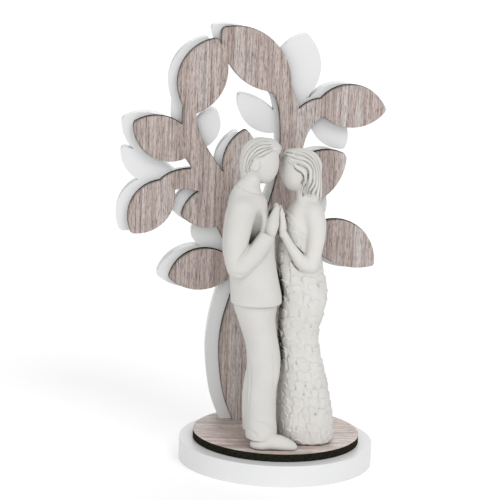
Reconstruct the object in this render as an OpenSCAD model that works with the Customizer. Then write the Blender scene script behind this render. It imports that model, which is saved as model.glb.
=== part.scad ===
// Keepsake tree with an embracing couple.
// Two cut tree boards stand back to back on a two-layer round base, with two cast figures in front.
// Millimetres, +Z up, front towards -Y, origin at the centre of the base's underside.

/* [Base] */
// Diameter of the lacquered base
base_d = 100; // [96:1:120]
// Thickness of the lacquered base
base_t = 11; // [9:0.5:14]
// Diameter of the veneered disc on the base
disc_d = 86; // [86:1:94]
// Thickness of the veneered disc
disc_t = 4; // [3:0.5:6]

/* [Tree boards] */
// Where the veneered board's front face stands behind the centre
board_y = 16.2; // [12:0.1:18]
// Thickness of the veneered front board
front_t = 4; // [3:0.5:5]
// Thickness of the lacquered back board
back_t = 11; // [9:0.5:12]

/* [Screws] */
// Shank diameter of the screws that hold the back board
screw_d = 3.5; // [3:0.5:4]
// Length of the screws
screw_len = 35; // [30:5:40]

/* [Hidden] */

WHITE = [0.93, 0.93, 0.91];
WOOD = [0.62, 0.54, 0.50];
BISQUE = [0.88, 0.87, 0.84];
ZINC = [0.78, 0.76, 0.70];

top_z = base_t + disc_t;
back_y = board_y + front_t;
screw_y = back_y + back_t / 2;
screw_x = [-22.5, -3.5];
head_r = screw_d;
// How deep the head sits in the base, its height, the point's length and the cross slot's size
sink = 0.6;
head_h = 2;
point_h = 3;
slot_w = 0.8;
slot_h = 1.2;
// Clearances round the shank and the head, and how far a cut runs past a face
shank_gap = 0.3;
head_gap = 0.2;
past = 1;

// Steps along each long side of a leaf and between the named points of a limb
LEAF_N = 14;
LIMB_N = 5;

// A leaf is [stem point, tip point, swell to the left, swell to the right, tip radius],
// in the plane of its board, as seen from the front.
FRONT_LEAVES = [
  [[2, 190], [-34.6, 221.2], 12.4, 13.1, 3.2],
  [[-49, 176], [-36.5, 216], 13, 12, 3],
  [[-45, 158], [-78, 171.7], 12.6, 9.9, 2.5],
  [[-57, 142], [-77.5, 114], 10, 11, 2.5],
  [[-20, 133], [-52.3, 124.2], 10.3, 10.5, 1.5],
  [[-27, 138], [-20.5, 169.8], 7.6, 10, 2],
  [[15, 182.5], [51.7, 181.7], 12.2, 10, 3],
  [[6, 130], [32.3, 157.8], 15, 7.8, 3],
  [[12, 117], [49, 100.3], 15, 7.8, 2],
  [[-22, 98], [-57.8, 91.3], 9.4, 12.3, 1.8],
];

// The back board has the same ten leaves a little to the left, and seven more.
BACK_LEAVES = [
  [[-3.3, 190.4], [-39.9, 222], 8.6, 12.9, 2.5],
  [[-54, 176.8], [-41.5, 216.4], 12.4, 12, 3],
  [[-51, 158.8], [-84, 172.6], 12.4, 10, 3],
  [[-63, 142.8], [-83.5, 114.8], 10, 11, 3],
  [[-22, 132], [-57.5, 127], 10, 12, 4],
  [[-31.3, 137], [-25, 168.3], 7.6, 9, 2.5],
  [[10, 182.7], [46.5, 181.9], 12.2, 10, 3],
  [[2.5, 130], [28.8, 157.6], 15, 7.8, 3],
  [[9, 116], [43.5, 100.3], 12, 8, 2],
  [[-25, 99.2], [-64.2, 92], 9.6, 11.9, 2.2],
  [[3.5, 182], [9.8, 219.2], 13.5, 10.6, 2.5],
  [[0, 169.6], [-24.6, 187.6], 9.6, 4.6, 1.8],
  [[-44, 158], [-35.8, 179.6], 7, 6.3, 3],
  [[-55, 145.4], [-84, 158.3], 11.5, 2.8, 2],
  [[13, 180], [31.2, 160.6], 9.5, 6.9, 2],
  [[-18, 108], [-48.5, 116.6], 8, 7.5, 5],
  [[8, 146], [19, 121], 9.5, 7, 3],
];

// A limb is a run of [x, z, half width] along its middle.
FRONT_LIMBS = [
  [[-5.5, 15, 16.3], [-5.5, 30, 22], [-5.5, 50, 24.8], [-5.5, 66, 24], [-5.5, 82, 20],
   [-5.5, 93, 16.2], [-5.5, 103, 14], [-5.5, 114, 13]],
  [[4, 101, 5], [9, 110, 4.4], [18, 115, 4]],
  [[-49.2, 184, 3.4], [-49.2, 173, 3.9], [-46.6, 161, 5.2], [-40.6, 149, 6.6],
   [-32, 134, 8.6], [-21, 115, 9.5], [-10, 98, 12]],
  [[-64, 137.4, 3.2], [-57, 141.6, 4.6], [-48.5, 143.3, 5.3], [-37, 142, 6.5]],
  [[-7, 199, 6], [-1.8, 190, 5.2], [1.3, 181, 5.2], [2.9, 170, 5.5], [3.2, 160, 5.7],
   [3, 148, 6.2], [1.2, 132, 7.8], [-2, 117, 9.6], [-6, 100, 12.5]],
  [[21, 182.7, 4.4], [15, 180.9, 5.2], [10, 176.5, 5.6], [6, 169, 5.5], [4, 159, 5]],
];
BACK_LIMBS = [
  [[-12.4, 15, 16.3], [-12.4, 30, 22], [-12.4, 50, 24.8], [-12.4, 66, 24], [-12.4, 82, 20.6],
   [-12.4, 93, 16.8], [-11.5, 103, 14.2], [-10.5, 114, 13]],
  [[0, 101, 5], [6, 110, 4.4], [15, 114, 4]],
  [[-55, 184, 3.4], [-54.6, 173, 3.9], [-50, 161, 4.9], [-41.6, 149, 5.3],
   [-33, 134, 8.2], [-23, 115, 9.5], [-14, 97, 14]],
  [[-68, 138, 3.2], [-60, 140.6, 4.2], [-50, 142.4, 5], [-38, 142, 6]],
  [[-9, 197, 6], [-4, 190, 5.2], [-1, 181, 5.3], [0.4, 170, 5.6], [1.1, 160, 5.8],
   [0.4, 148, 6.5], [-1.6, 134, 7.7], [-5, 117, 9.5], [-9, 100, 12.5]],
  [[17, 182.5, 4.4], [11, 181.2, 5.2], [6, 180, 6.4], [2.5, 172, 6], [1.5, 159, 5]],
];

// Runs of [z, x, y, half width, half depth] up each figure
TROUSER_NEAR = [[19.8, -9.6, -28.9, 7.4, 8.9], [20.6, -9.6, -28.9, 7.9, 9.2], [31, -9.8, -28.4, 7.5, 8],
  [45, -9.7, -27.6, 7.3, 6.9], [52, -9.2, -27.2, 7.9, 7], [60, -9.3, -26.8, 8.1, 7.5],
  [68, -10.6, -26, 7.2, 7.6]];
TROUSER_FAR = [[20.8, -12, -18.6, 5.9, 5.8], [21.6, -12, -18.6, 6.4, 6.2], [31, -12.5, -18.6, 6.5, 6.2],
  [49, -11.9, -18.9, 6.3, 6.6], [58, -10.6, -19.4, 6.6, 7], [68, -10.8, -20.6, 7, 7.6]];
HIPS = [[58, -9.9, -23.4, 6.4, 8.4], [66, -10.4, -23.4, 7.5, 9.6], [74, -12.5, -23.5, 8.5, 10.3],
  [80, -13.8, -23.5, 9.5, 10.8], [89, -14.6, -23.5, 11.2, 11]];
JACKET = [[88, -14.2, -23.5, 12.4, 12.4], [88.6, -14.2, -23.5, 12.8, 12.8], [95, -14.8, -23.5, 12.6, 12.1],
  [101, -15.8, -23.4, 12.2, 11.4], [107, -16.6, -23, 11.8, 10.4], [114, -17.2, -22.8, 11.4, 8.6],
  [120, -17.3, -22.6, 11.3, 7.6], [127, -18.1, -22.4, 10.6, 7.6], [133, -19.2, -22.4, 10, 8.8],
  [137.5, -19.9, -22.2, 9.3, 8.8], [141, -20.3, -22, 8.3, 7.6], [143.4, -20.3, -21.8, 7.1, 6.6],
  [145.4, -20, -21.8, 6, 5.9]];
NECK = [[142, -19.6, -22, 5.8, 5.6], [148.5, -19.4, -21.2, 5.2, 5], [157, -17, -20.6, 4.6, 5]];
DRESS = [[15, 14.2, -11.6, 13.1, 15.8], [17, 14.2, -11.6, 13.8, 16.4], [22, 13.9, -12, 13.8, 16],
  [30, 13.3, -12.2, 13.5, 14.6], [38, 12.5, -12.8, 12.7, 13.3], [47, 11.6, -13.2, 11.6, 12],
  [58, 10, -13.6, 10.2, 10.4], [66, 8.7, -13.8, 9.7, 9.6], [77, 8.7, -14.2, 10.3, 10.2],
  [83, 9.6, -14.4, 10.9, 10.8], [89, 10, -14.6, 11.3, 11.2], [95, 9.6, -14.4, 11.5, 11.2],
  [101, 8.4, -13.6, 11.4, 10.2], [106, 7.7, -12.9, 10.8, 9], [112, 6.7, -12.6, 10.3, 8.2],
  [118, 6.6, -12.6, 9.8, 8], [125, 7.5, -13, 9.2, 8.6], [131, 8.3, -13, 8.8, 9],
  [135.5, 9.2, -13, 7.4, 8.8], [139, 9.4, -13, 5.4, 6.8], [142, 8.6, -13, 4.3, 4.7],
  [149, 7, -13, 4, 4.3]];
// The far side of the dress, which reaches towards the groom
TRAIN = [[15, 6.2, -6, 6, 4.6], [60, 6.2, -6, 6.2, 4.6], [68, 4.6, -6, 6.2, 4.6], [80, 4, -6, 6.2, 4.6],
  [89, 5.5, -6, 6, 4.6], [108, 2.6, -6, 5.9, 4.4], [118, 0.9, -7, 5.4, 3.6]];
FALL_OF_HAIR = [[138.2, 14.2, -13, 3.6, 6.4], [147, 12.8, -13, 4.9, 8.4], [155, 11.2, -13, 5.5, 8.9],
  [160, 9.4, -13, 5.4, 8.2]];

// Runs of [x, y, z, radius] down each arm and hand.
// The far ones not given here mirror the near ones in depth.
GROOM_SHOULDER = [[-20.4, -22, 146.4, 4.7], [-24, -27, 137, 5.6]];
GROOM_ARM = [[-22.6, -29, 135.6, 6.6], [-25, -31.4, 124.6, 6.1], [-26.1, -32.2, 112.8, 5.2],
  [-23.9, -32, 107.4, 5.7], [-16, -31, 114.8, 5], [-10.1, -29.2, 123.6, 4]];
GROOM_HAND = [[-8.8, -28, 124.6, 2.7], [-7.9, -27.2, 128, 3.1], [-7, -26.4, 132, 2.4],
  [-5.6, -25.5, 136.6, 1.1]];
BRIDE_ARM = [[12.8, -18.8, 133.8, 5.3], [14.7, -20.5, 121.6, 4.5], [14, -20.7, 114, 3.9],
  [12.6, -20.9, 107, 4.1]];
BRIDE_NEAR_HAND = [[12.6, -20.9, 107, 4.1], [8.9, -21.2, 107.8, 3.5], [1.8, -22.6, 117, 2.2],
  [-2.3, -24, 124.2, 1.9], [-2.9, -24.2, 128.4, 1.7], [-3.4, -25, 135.6, 0.9]];
BRIDE_FAR_HAND = [[12.6, -5.1, 107, 4.1], [8.9, -5.4, 107.8, 3.5], [1.8, -10, 117, 2.2],
  [-2.3, -15, 124.2, 1.9], [-2.9, -15.8, 128.4, 1.7], [-3.4, -16.6, 135.6, 0.9]];
GROOM_MID_Y = -22.4;
BRIDE_MID_Y = -13;

function unit(v) = v / norm(v);
function left_of(v) = [-v.y, v.x];
function flat(v) = [v.x, v.y];
function heading(c, p) = atan2(p.y - c.y, p.x - c.x);
function turn(a, b) = let (d = (a - b) % 360) d < 0 ? d + 360 : d;
function clockwise(c, r, a, b, n, i0, i1) =
  let (s = turn(a, b)) [for (i = [i0:i1]) c + r * [cos(a - s * i / n), sin(a - s * i / n)]];

// Outline of one leaf: an arc up each side and a small round at the tip
function leaf_outline(f) =
  let (
    b = f[0],
    t = f[1],
    u = unit(t - b),
    v = left_of(u),
    m = (b + t) / 2,
    h = norm(t - b) / 2,
    ra = (h * h + f[2] * f[2]) / (2 * f[2]),
    rb = (h * h + f[3] * f[3]) / (2 * f[3]),
    ca = m + v * (f[2] - ra),
    cb = m - v * (f[3] - rb),
    q = f[4],
    k = norm(cb - ca),
    w = (cb - ca) / k,
    x = ((ra - q) * (ra - q) - (rb - q) * (rb - q) + k * k) / (2 * k),
    y = sqrt((ra - q) * (ra - q) - x * x),
    p1 = ca + w * x + left_of(w) * y,
    p2 = ca + w * x - left_of(w) * y,
    p = (p1 - m) * u > 0 ? p1 : p2,
    a1 = heading(ca, p),
    a2 = heading(cb, p)
  )
  concat(
    clockwise(ca, ra, heading(ca, b), a1, LEAF_N, 0, LEAF_N),
    clockwise(p, q, a1, a2, 6, 1, 5),
    clockwise(cb, rb, a2, heading(cb, b), LEAF_N, 0, LEAF_N - 1)
  );

// Smooth run through points, and the outline of a limb of changing width along it
function between(a, b, c, d, t) =
  (2 * b + (c - a) * t + (2 * a - 5 * b + 4 * c - d) * t * t + (3 * b - a - 3 * c + d) * t * t * t) / 2;
function smooth(p) =
  let (e = len(p) - 1)
  concat(
    [for (i = [0:e - 1]) for (k = [0:LIMB_N - 1])
      between(p[max(i - 1, 0)], p[i], p[i + 1], p[min(i + 2, e)], k / LIMB_N)],
    [p[e]]
  );
function limb_outline(p) =
  let (
    c = smooth(p),
    e = len(c) - 1,
    s = [for (i = [0:e]) left_of(unit(flat(c[min(i + 1, e)]) - flat(c[max(i - 1, 0)])))]
  )
  concat(
    [for (i = [0:e]) flat(c[i]) + s[i] * c[i].z],
    [for (i = [e:-1:0]) flat(c[i]) - s[i] * c[i].z]
  );

module tree_outline(leaves, limbs) {
  intersection() {
    union() {
      for (f = leaves) polygon(leaf_outline(f));
      for (p = limbs) polygon(limb_outline(p));
    }
    translate([-100, top_z]) square([200, 250]);
  }
}

// A board standing on the disc, from depth y back by its thickness
module board(y, t) {
  translate([0, y + t, 0]) rotate([90, 0, 0]) linear_extrude(t) children();
}

module screw_axes() {
  for (x = screw_x) translate([x, screw_y, 0]) children();
}

module base_disc() {
  color(WHITE) difference() {
    cylinder(h = base_t, d = base_d, $fn = 96);
    screw_axes() rotate_extrude($fn = 32) polygon([
      [0, -past],
      [head_r + head_gap, -past],
      [head_r + head_gap, sink],
      [screw_d / 2 + shank_gap, sink + head_h],
      [screw_d / 2 + shank_gap, base_t + past],
      [0, base_t + past]
    ]);
  }
}

module wood_disc() {
  color(WOOD) difference() {
    translate([0, 0, base_t]) cylinder(h = disc_t, d = disc_d, $fn = 96);
    screw_axes() translate([0, 0, base_t - past])
      cylinder(h = disc_t + 2 * past, r = screw_d / 2 + shank_gap, $fn = 32);
  }
}

module tree_back() {
  color(WHITE) difference() {
    board(back_y, back_t) tree_outline(BACK_LEAVES, BACK_LIMBS);
    screw_axes() translate([0, 0, top_z - past])
      cylinder(h = screw_len + sink - top_z + 2 * past, d = screw_d, $fn = 32);
  }
}

module tree_front() {
  color(WOOD) board(board_y, front_t) tree_outline(FRONT_LEAVES, FRONT_LIMBS);
}

// Countersunk screws, driven up from the underside
module tree_screws() {
  color(ZINC) screw_axes() translate([0, 0, sink]) difference() {
    rotate_extrude($fn = 32) polygon([[0, 0], [head_r, 0], [screw_d / 2, head_h],
      [screw_d / 2, screw_len - point_h], [0, screw_len]]);
    for (a = [0, 90]) rotate(a) translate([-2.5 * slot_w, -slot_w / 2, -past])
      cube([5 * slot_w, slot_w, slot_h + past]);
  }
}

module slice(s) {
  translate([s[1], s[2], s[0]]) linear_extrude(0.02) scale([s[3], s[4]]) circle(1, $fn = 32);
}
module trunk_run(run) {
  for (i = [0:len(run) - 2]) hull() {
    slice(run[i]);
    slice(run[i + 1]);
  }
}
module ball(p) {
  translate([p[0], p[1], p[2]]) sphere(p[3], $fn = 20);
}
module limb_run(run) {
  for (i = [0:len(run) - 2]) hull() {
    ball(run[i]);
    ball(run[i + 1]);
  }
}
module egg(c, r, tilt = 0) {
  translate(c) rotate([0, tilt, 0]) scale(r) sphere(1, $fn = 28);
}
// The same run at the near side and mirrored to the far side of the figure's middle
module both_sides(mid_y) {
  children();
  translate([0, 2 * mid_y, 0]) mirror([0, 1, 0]) children();
}
module shoe(x, y) {
  intersection() {
    hull() {
      egg([x + 4.5, y + 0.6, 17.6], [5, 5, 4]);
      egg([x + 12.5, y, 17.2], [6, 5.6, 3.6]);
      egg([x + 19, y - 0.2, 16.2], [4.4, 3.6, 2.8]);
    }
    translate([x - 10, y - 15, top_z]) cube([50, 30, 10]);
  }
}

module groom() {
  color(BISQUE) union() {
    shoe(-14.6, -33);
    shoe(-19.5, -18.6);
    trunk_run(TROUSER_NEAR);
    trunk_run(TROUSER_FAR);
    trunk_run(HIPS);
    difference() {
      trunk_run(JACKET);
      egg([-17, -33.2, 125], [4.7, 7.4, 14], 14);
    }
    trunk_run(NECK);
    both_sides(GROOM_MID_Y) {
      limb_run(GROOM_SHOULDER);
      limb_run(GROOM_ARM);
      limb_run(GROOM_HAND);
    }
    egg([-14.8, -20.3, 160.3], [9.9, 9.2, 10.7]);
    egg([-19.4, -20.3, 156], [5.4, 7.6, 6.6]);
    egg([-8.4, -20.3, 166.4], [5.1, 6.9, 3.1], 40);
    egg([-12.2, -20.3, 158.2], [7, 7.5, 10.3]);
  }
}

module bride() {
  color(BISQUE) union() {
    trunk_run(DRESS);
    trunk_run(TRAIN);
    trunk_run(FALL_OF_HAIR);
    both_sides(BRIDE_MID_Y) limb_run(BRIDE_ARM);
    limb_run(BRIDE_NEAR_HAND);
    limb_run(BRIDE_FAR_HAND);
    egg([6.6, -13, 155.7], [10.5, 9.2, 9.5]);
    egg([3.4, -13, 153.4], [7, 7.3, 10.2]);
  }
}

base_disc();
wood_disc();
tree_back();
tree_front();
tree_screws();
groom();
bride();
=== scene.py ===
"""Keepsake tree with a couple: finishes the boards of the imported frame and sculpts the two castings.

Blender's side is in metres. The clay, and every table of points for it, is in millimetres.
"""
import math

import bpy
import numpy as np
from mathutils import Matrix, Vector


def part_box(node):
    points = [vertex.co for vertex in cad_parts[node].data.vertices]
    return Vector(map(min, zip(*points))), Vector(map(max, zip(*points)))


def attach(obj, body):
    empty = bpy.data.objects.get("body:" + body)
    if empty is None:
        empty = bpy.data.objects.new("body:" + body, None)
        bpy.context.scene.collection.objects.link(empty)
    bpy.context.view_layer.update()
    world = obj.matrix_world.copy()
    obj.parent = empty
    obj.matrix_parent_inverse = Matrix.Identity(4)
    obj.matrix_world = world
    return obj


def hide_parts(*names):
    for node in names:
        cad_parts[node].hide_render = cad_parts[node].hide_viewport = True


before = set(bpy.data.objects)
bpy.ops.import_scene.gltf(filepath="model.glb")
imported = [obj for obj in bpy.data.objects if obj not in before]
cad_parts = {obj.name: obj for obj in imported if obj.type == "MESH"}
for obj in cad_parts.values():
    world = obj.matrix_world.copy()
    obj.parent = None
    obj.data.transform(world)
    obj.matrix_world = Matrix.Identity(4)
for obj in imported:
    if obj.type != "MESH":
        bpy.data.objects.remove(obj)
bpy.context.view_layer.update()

import openvdb
from mathutils import Matrix, Vector

MM = 0.001
scene = bpy.context.scene
DISC_TOP = float(round(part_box("wood_disc")[1].z / MM, 2))
SOLE = DISC_TOP + 0.02

# ---------------------------------------------------------------- camera

CAMERA_AT = Vector((-0.0786, -0.9989, 0.3074))
CAMERA_AIM = Vector((0.0606, 0.9792, -0.1935))
CAMERA_ROLL = math.radians(2.15)
CAMERA_LENS = 144
CAMERA_SENSOR = 36
camera_data = bpy.data.cameras.new("camera")
camera_data.lens = CAMERA_LENS
camera_data.sensor_width = CAMERA_SENSOR
camera = bpy.data.objects.new("camera", camera_data)
scene.collection.objects.link(camera)
camera.matrix_world = (
    Matrix.Translation(CAMERA_AT)
    @ CAMERA_AIM.to_track_quat("-Z", "Y").to_matrix().to_4x4()
    @ Matrix.Rotation(CAMERA_ROLL, 4, "Z")
)
scene.camera = camera

# ---------------------------------------------------------------- clay: distance fields in millimetres

# a distance that stands for "no clay near here", and how far round a shape the grid is touched
FAR = 9.0
REACH = 2.0


def curve(knots, values, t):
    """Smooth run of values over rising knots, read at t: a cubic that doesn't overshoot much."""
    knots, values = np.asarray(knots, float), np.asarray(values, float)
    steps = np.diff(knots)
    slopes = np.diff(values) / steps
    before, after = steps[:-1], steps[1:]
    middle = (slopes[:-1] * after + slopes[1:] * before) / (before + after)
    tangents = np.concatenate([slopes[:1], middle, slopes[-1:]])
    flat = np.concatenate([[False], slopes[:-1] * slopes[1:] <= 0, [False]])
    tangents[flat] = 0
    t = np.clip(t, knots[0], knots[-1])
    i = np.clip(np.searchsorted(knots, t, side="right") - 1, 0, len(knots) - 2)
    h = steps[i]
    s = (t - knots[i]) / h
    return (
        values[i] * (1 + 2 * s) * (1 - s) ** 2
        + tangents[i] * h * s * (1 - s) ** 2
        + values[i + 1] * s * s * (3 - 2 * s)
        + tangents[i + 1] * h * s * s * (s - 1)
    )


def blend_in(a, b, k):
    """Union of two distances, with a soft join about k wide."""
    if k <= 0:
        return np.minimum(a, b)
    h = np.maximum(k - np.abs(a - b), 0) / k
    return np.minimum(a, b) - h * h * k * 0.25


def blend_cut(a, b, k):
    """a with b taken out of it, with a soft lip about k wide."""
    return -blend_in(-a, b, k)


def ellipse_distance(u, v, ru, rv, power=2.0):
    """Distance to an ellipse, or to a squarer oval when power is above 2."""
    a, b = np.abs(u / ru), np.abs(v / rv)
    k0 = np.maximum(a**power + b**power, 1e-12) ** (1 / power)
    slope = k0 ** (1 - power) * np.hypot(a ** (power - 1) / ru, b ** (power - 1) / rv)
    return (k0 - 1) / np.maximum(slope, 1e-3)


class Column:
    """A stack of ellipses [z, x, y, half width, half depth], rounded at both ends."""

    def __init__(self, rows, round_end=0.8, power=2.0):
        self.rows = np.array(sorted(rows), float)
        self.round_end, self.power = round_end, power
        r = self.rows
        pad = np.array([r[:, 3].max(), r[:, 4].max(), 0])
        mid = [r[:, 1], r[:, 2], r[:, 0]]
        self.lo = np.array([m.min() for m in mid]) - pad
        self.hi = np.array([m.max() for m in mid]) + pad

    def __call__(self, x, y, z):
        r = self.rows
        cx, cy, rx, ry = (curve(r[:, 0], r[:, i], z) for i in (1, 2, 3, 4))
        side = ellipse_distance(x - cx, y - cy, rx, ry, self.power)
        ends = np.maximum(r[0, 0] - z, z - r[-1, 0])
        return -blend_in(-side, -ends, self.round_end)


class Egg:
    """An ellipsoid; tilt turns it about Y, in degrees."""

    def __init__(self, centre, radii, tilt=0):
        self.c, self.r, self.tilt = np.array(centre, float), np.array(radii, float), math.radians(tilt)
        reach = self.r.max() if tilt else self.r
        self.lo, self.hi = self.c - reach, self.c + reach

    def __call__(self, x, y, z):
        x, y, z = x - self.c[0], y - self.c[1], z - self.c[2]
        cs, sn = math.cos(self.tilt), math.sin(self.tilt)
        x, z = cs * x - sn * z, sn * x + cs * z
        k0 = np.sqrt((x / self.r[0]) ** 2 + (y / self.r[1]) ** 2 + (z / self.r[2]) ** 2)
        k1 = np.sqrt((x / self.r[0] ** 2) ** 2 + (y / self.r[1] ** 2) ** 2 + (z / self.r[2] ** 2) ** 2)
        return k0 * (k0 - 1) / np.maximum(k1, 1e-6)


class Cone:
    """The hull of two balls [x, y, z, r]."""

    def __init__(self, a, b):
        self.a, self.ra = np.array(a[:3], float), a[3]
        self.b, self.rb = np.array(b[:3], float), b[3]

    def __call__(self, x, y, z):
        ba = self.b - self.a
        l2, rr = ba @ ba, self.ra - self.rb
        a2, il2 = l2 - rr * rr, 1 / l2
        px, py, pz = x - self.a[0], y - self.a[1], z - self.a[2]
        s = px * ba[0] + py * ba[1] + pz * ba[2]
        e = s - l2
        x2 = np.maximum((px * px + py * py + pz * pz) * l2 * l2 - s * s * l2, 0)
        y2, z2 = s * s * l2, e * e * l2
        k = np.sign(rr) * rr * rr * x2
        near_b = np.sign(e) * a2 * z2 > k
        near_a = np.sign(s) * a2 * y2 < k
        to_a = np.sqrt(x2 + y2) * il2 - self.ra
        to_b = np.sqrt(x2 + z2) * il2 - self.rb
        to_side = (np.sqrt(x2 * a2 * il2) + s * rr) * il2 - self.ra
        return np.where(near_b, to_b, np.where(near_a, to_a, to_side))


def smooth_run(points, per=4):
    """Points along a smooth curve through the given ones, per of them to a leg; columns are read alike."""
    p = np.array(points, float)
    if len(p) < 3:
        return p
    t = np.concatenate([[0], np.cumsum(np.linalg.norm(np.diff(p[:, :3], axis=0), axis=1))])
    legs = [np.linspace(t[i], t[i + 1], per, endpoint=False) for i in range(len(p) - 1)]
    at = np.concatenate(legs + [t[-1:]])
    return np.stack([curve(t, p[:, i], at) for i in range(p.shape[1])], axis=1)


class Clay:
    """Soft shapes joined on a voxel grid: d holds the distance to the clay, negative inside it."""

    def __init__(self, lo, hi, step):
        self.step = step
        self.lo = np.array(lo, float)
        n = np.ceil((np.array(hi) - self.lo) / step).astype(int) + 1
        self.axes = [self.lo[i] + step * np.arange(n[i]) for i in range(3)]
        self.d = np.full(n, FAR, np.float32)

    def like(self, distance):
        """Another block on the same grid that holds the given distances."""
        other = Clay.__new__(Clay)
        other.__dict__.update(lo=self.lo, step=self.step, axes=self.axes, d=distance)
        return other

    def window(self, lo, hi):
        """The part of the grid between two corners, as slices and as open x, y, z coordinates."""
        cut = [slice(*np.searchsorted(a, (l, h))) for a, l, h in zip(self.axes, lo, hi)]
        return tuple(cut), np.ix_(*[a[c] for a, c in zip(self.axes, cut)])

    def add(self, shape, k=0.0, join=blend_in):
        """Joins a shape to the clay with a width of k, or with blend_cut takes it out."""
        cut, (x, y, z) = self.window(shape.lo - REACH - k, shape.hi + REACH + k)
        self.d[cut] = join(self.d[cut], shape(x, y, z), k)

    def balls(self, p, own, reach, k):
        """Adds balls [x, y, z, r] and what spans them, joined to each other by own and to the rest by k."""
        centre, r = p[:, :3], p[:, 3:]
        cut, (x, y, z) = self.window((centre - r).min(0) - reach, (centre + r).max(0) + reach)
        part = Cone(p[0], p[1])(x, y, z)
        for a, b in zip(p[1:-1], p[2:]):
            part = blend_in(part, Cone(a, b)(x, y, z), own)
        self.d[cut] = blend_in(self.d[cut], part, k)

    def run(self, points, k=0.0):
        """A limb: one smooth run of balls, joined to the rest with a width of k."""
        self.balls(smooth_run(points), 0.6, REACH + k, k)

    def sample(self, p):
        """Distance and outward direction at points, read from the grid."""
        g = (p - self.lo) / self.step
        i = np.clip(np.floor(g).astype(int), 1, np.array(self.d.shape) - 3)
        f = g - i
        out = np.zeros(len(p))
        grad = np.zeros((len(p), 3))
        for c in np.ndindex(2, 2, 2):
            w = np.prod(np.where(np.array(c), f, 1 - f), axis=1)
            j = i + c
            out += w * self.d[j[:, 0], j[:, 1], j[:, 2]]
            for axis in range(3):
                e = np.eye(3, dtype=int)[axis]
                ahead, behind = (j + e).T, (j - e).T
                grad[:, axis] += w * (self.d[tuple(ahead)] - self.d[tuple(behind)])
        return out, grad / np.maximum(np.linalg.norm(grad, axis=1, keepdims=True), 1e-9)

    def snap(self, p):
        """Points moved on to the surface."""
        for _ in range(6):
            d, g = self.sample(p)
            p = p - g * np.clip(d, -1.5, 1.5)[:, None]
        return p

    def strand(self, points, rise, k):
        """A lock [x, y, z, r] laid on the kept base: it snaps to it and stands proud of it by rise."""
        p = smooth_run(points)
        on = self.base.snap(p[:, :3])
        _, g = self.base.sample(on)
        # each end sinks in over about a twelfth of the length
        along = np.linspace(0, 1, len(p))
        lift = rise * np.clip(np.minimum(along, 1 - along) * 9 + 0.25, 0, 1)
        self.balls(np.column_stack([on - g * (p[:, 3] - lift)[:, None], p[:, 3]]), 0, 1.5, k)

    def keep_base(self):
        """From here on, strands lie on the surface as it is now."""
        self.base = self.like(self.d.copy())

    def mesh(self):
        """Points and outward quads of the clay's skin."""
        grid = openvdb.FloatGrid(FAR)
        grid.copyFromArray(self.d)
        points, quads = grid.convertToQuads(0.0)
        return largest_skin(points * self.step + self.lo, quads)


def largest_skin(points, quads):
    """The one connected skin with the most points: leaves out loose crumbs and sealed bubbles."""
    a, b = quads.ravel(), quads[:, [1, 2, 3, 0]].ravel()
    label = np.arange(len(points))
    while not np.array_equal(label[a], label[b]):
        low = np.minimum(label[a], label[b])
        np.minimum.at(label, label[a], low)
        np.minimum.at(label, label[b], low)
        while not np.array_equal(label, label[label]):
            label = label[label]
    keep = label == np.bincount(label).argmax()
    number = np.cumsum(keep) - 1
    return points[keep].astype(float), number[quads[keep[quads[:, 0]]]]


def mirrored(points, mid_y):
    """The same run of points on the other side of the plane y = mid_y."""
    return [[p[0], 2 * mid_y - p[1], *p[2:]] for p in points]


def mesh_object(name, points, quads, material):
    """A smooth-shaded object from points in millimetres."""
    data = bpy.data.meshes.new(name)
    data.from_pydata((points * MM).tolist(), [], quads.tolist())
    data.update()
    data.polygons.foreach_set("use_smooth", np.ones(len(quads), bool))
    data.materials.append(material)
    o = bpy.data.objects.new(name, data)
    scene.collection.objects.link(o)
    return o


def vertex_normals(points, quads):
    """Outward direction at each point, from the quads round it."""
    a, b, c, d = (points[quads[:, i]] for i in range(4))
    face = np.cross(c - a, d - b)
    n = np.zeros_like(points)
    for i in range(4):
        np.add.at(n, quads[:, i], face)
    return n / np.maximum(np.linalg.norm(n, axis=1, keepdims=True), 1e-12)


def relax(points, quads):
    """Evens out the voxel steps: points move towards the middle of their neighbours, then back out."""
    edges = np.concatenate([quads[:, [i, (i + 1) % 4]] for i in range(4)])
    count = np.bincount(edges.ravel(), minlength=len(points)).astype(float)[:, None]
    for weight in (0.5, -0.52):
        total = np.zeros_like(points)
        np.add.at(total, edges[:, 0], points[edges[:, 1]])
        np.add.at(total, edges[:, 1], points[edges[:, 0]])
        points = points + (total / count - points) * weight
    return points


def stroke_depth(points, path, width, weight):
    """How deep each point lies in a line that follows path: weight on the line, 0 away from it."""
    depth = np.zeros(len(points))
    near = np.all((points > path.min(0) - 3 * width) & (points < path.max(0) + 3 * width), axis=1)
    q = points[near]
    best = np.full(len(q), 1e9)
    strength = np.zeros(len(q))
    for a, b, wa, wb in zip(path[:-1], path[1:], weight[:-1], weight[1:]):
        ab = b - a
        t = np.clip(((q - a) @ ab) / max(ab @ ab, 1e-9), 0, 1)
        d2 = ((q - a - t[:, None] * ab) ** 2).sum(1)
        closer = d2 < best
        best[closer] = d2[closer]
        strength[closer] = (wa + (wb - wa) * t)[closer]
    depth[near] = np.exp(-best / width**2) * strength
    return depth


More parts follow.
